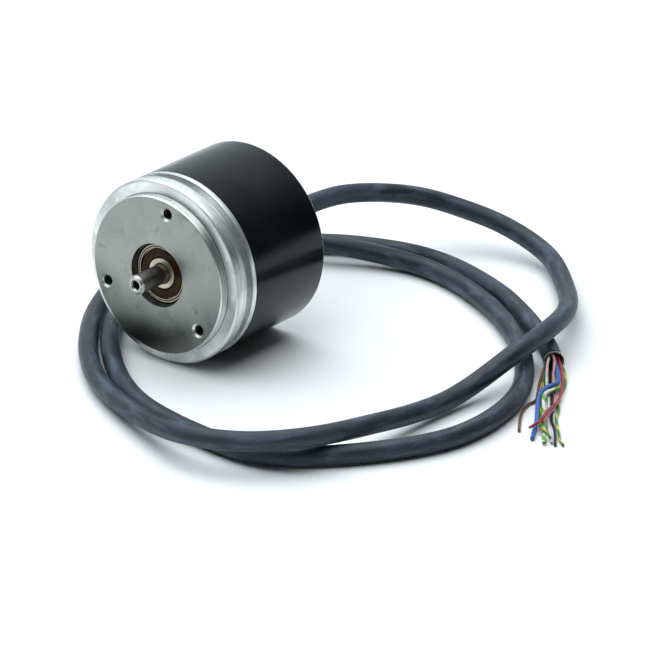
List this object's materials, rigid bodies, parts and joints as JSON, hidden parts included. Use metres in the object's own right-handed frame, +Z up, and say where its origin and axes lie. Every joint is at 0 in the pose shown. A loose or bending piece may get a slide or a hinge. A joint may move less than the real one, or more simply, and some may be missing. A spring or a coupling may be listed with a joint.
{
  "type": "rotary encoder",
  "caption": "Round shaft encoder with a silver synchro flange, clamping groove, black cap and a free grey cable ending in stripped coloured cores.",
  "frame": {"origin": "on the surface the housing lies on, under the middle of the length from the shaft's tip to the cap's rear face", "axes": "-Y along the shaft, out of the flange; +Y towards the cable; +Z up from the surface"},
  "size_m": [0.18, 0.1891, 0.0579],
  "materials": {
    "turned_aluminium": "satin, fine turning lines",
    "steel": "ground steel",
    "black_cap": "satin black coating, worn bright along the rear edge",
    "black_rubber": "matte",
    "brown_seal": "semi-gloss dark brown",
    "brass": "machined",
    "optical_glass": "polished",
    "black_plastic": "moulded",
    "board": "green solder mask",
    "cream_plastic": "moulded",
    "cable_jacket": "blue-grey, scuffed",
    "core_brown": "core insulation",
    "core_green": "core insulation",
    "core_white": "core insulation",
    "core_black": "core insulation",
    "core_pink": "core insulation",
    "core_blue": "core insulation",
    "core_white_green": "core insulation",
    "core_red": "core insulation",
    "core_yellow_green": "core insulation"
  },
  "bodies": {
    "housing": {"flange": "turned_aluminium", "cap": "black_cap", "housing_seal": "black_rubber", "strain_relief": "black_rubber", "wave_washer": "steel", "cable_shield": "steel", "board_screw_1": "steel", "board_screw_2": "steel", "board_screw_3": "steel", "front_bearing_outer_ring": "steel", "rear_bearing_outer_ring": "steel", "front_seal_outside": "brown_seal", "front_seal_inside": "brown_seal", "condenser_lens": "optical_glass", "scanning_reticle": "optical_glass", "lamp": "optical_glass", "lamp_holder": "black_plastic", "photodetector": "black_plastic", "circuit_board": "board", "board_connector": "cream_plastic", "cable": "cable_jacket", "core_brown": "core_brown", "core_green": "core_green", "core_white": "core_white", "core_black": "core_black", "core_pink": "core_pink", "core_blue": "core_blue", "core_white_green": "core_white_green", "core_red": "core_red", "core_yellow_green": "core_yellow_green"},
    "rotor": {"shaft": "steel", "front_bearing_inner_ring": "steel", "rear_bearing_inner_ring": "steel", "retaining_ring": "steel", "disc_hub": "brass", "code_disc": "optical_glass", "disc_clamp": "brass"},
    "front_cage": {"front_bearing_cage": "brass", "front_ball_1": "steel", "front_ball_2": "steel", "front_ball_3": "steel", "front_ball_4": "steel", "front_ball_5": "steel", "front_ball_6": "steel", "front_ball_7": "steel"},
    "rear_cage": {"rear_bearing_cage": "brass", "rear_ball_1": "steel", "rear_ball_2": "steel", "rear_ball_3": "steel", "rear_ball_4": "steel", "rear_ball_5": "steel", "rear_ball_6": "steel", "rear_ball_7": "steel"}
  },
  "joints": [
    {"name": "shaft_spin", "type": "hinge", "parent": "housing", "child": "rotor", "pos_m": [0, 0, 0.02894], "axis": [0, -1, 0], "continuous": true},
    {"name": "front_cage_spin", "type": "hinge", "parent": "housing", "child": "front_cage", "pos_m": [0, 0, 0.02894], "axis": [0, -1, 0], "continuous": true},
    {"name": "rear_cage_spin", "type": "hinge", "parent": "housing", "child": "rear_cage", "pos_m": [0, 0, 0.02894], "axis": [0, -1, 0], "continuous": true}
  ],
  "couplings": [
    {"joint": "front_cage_spin", "follows": "shaft_spin", "ratio": 0.373},
    {"joint": "rear_cage_spin", "follows": "shaft_spin", "ratio": 0.373}
  ]
}
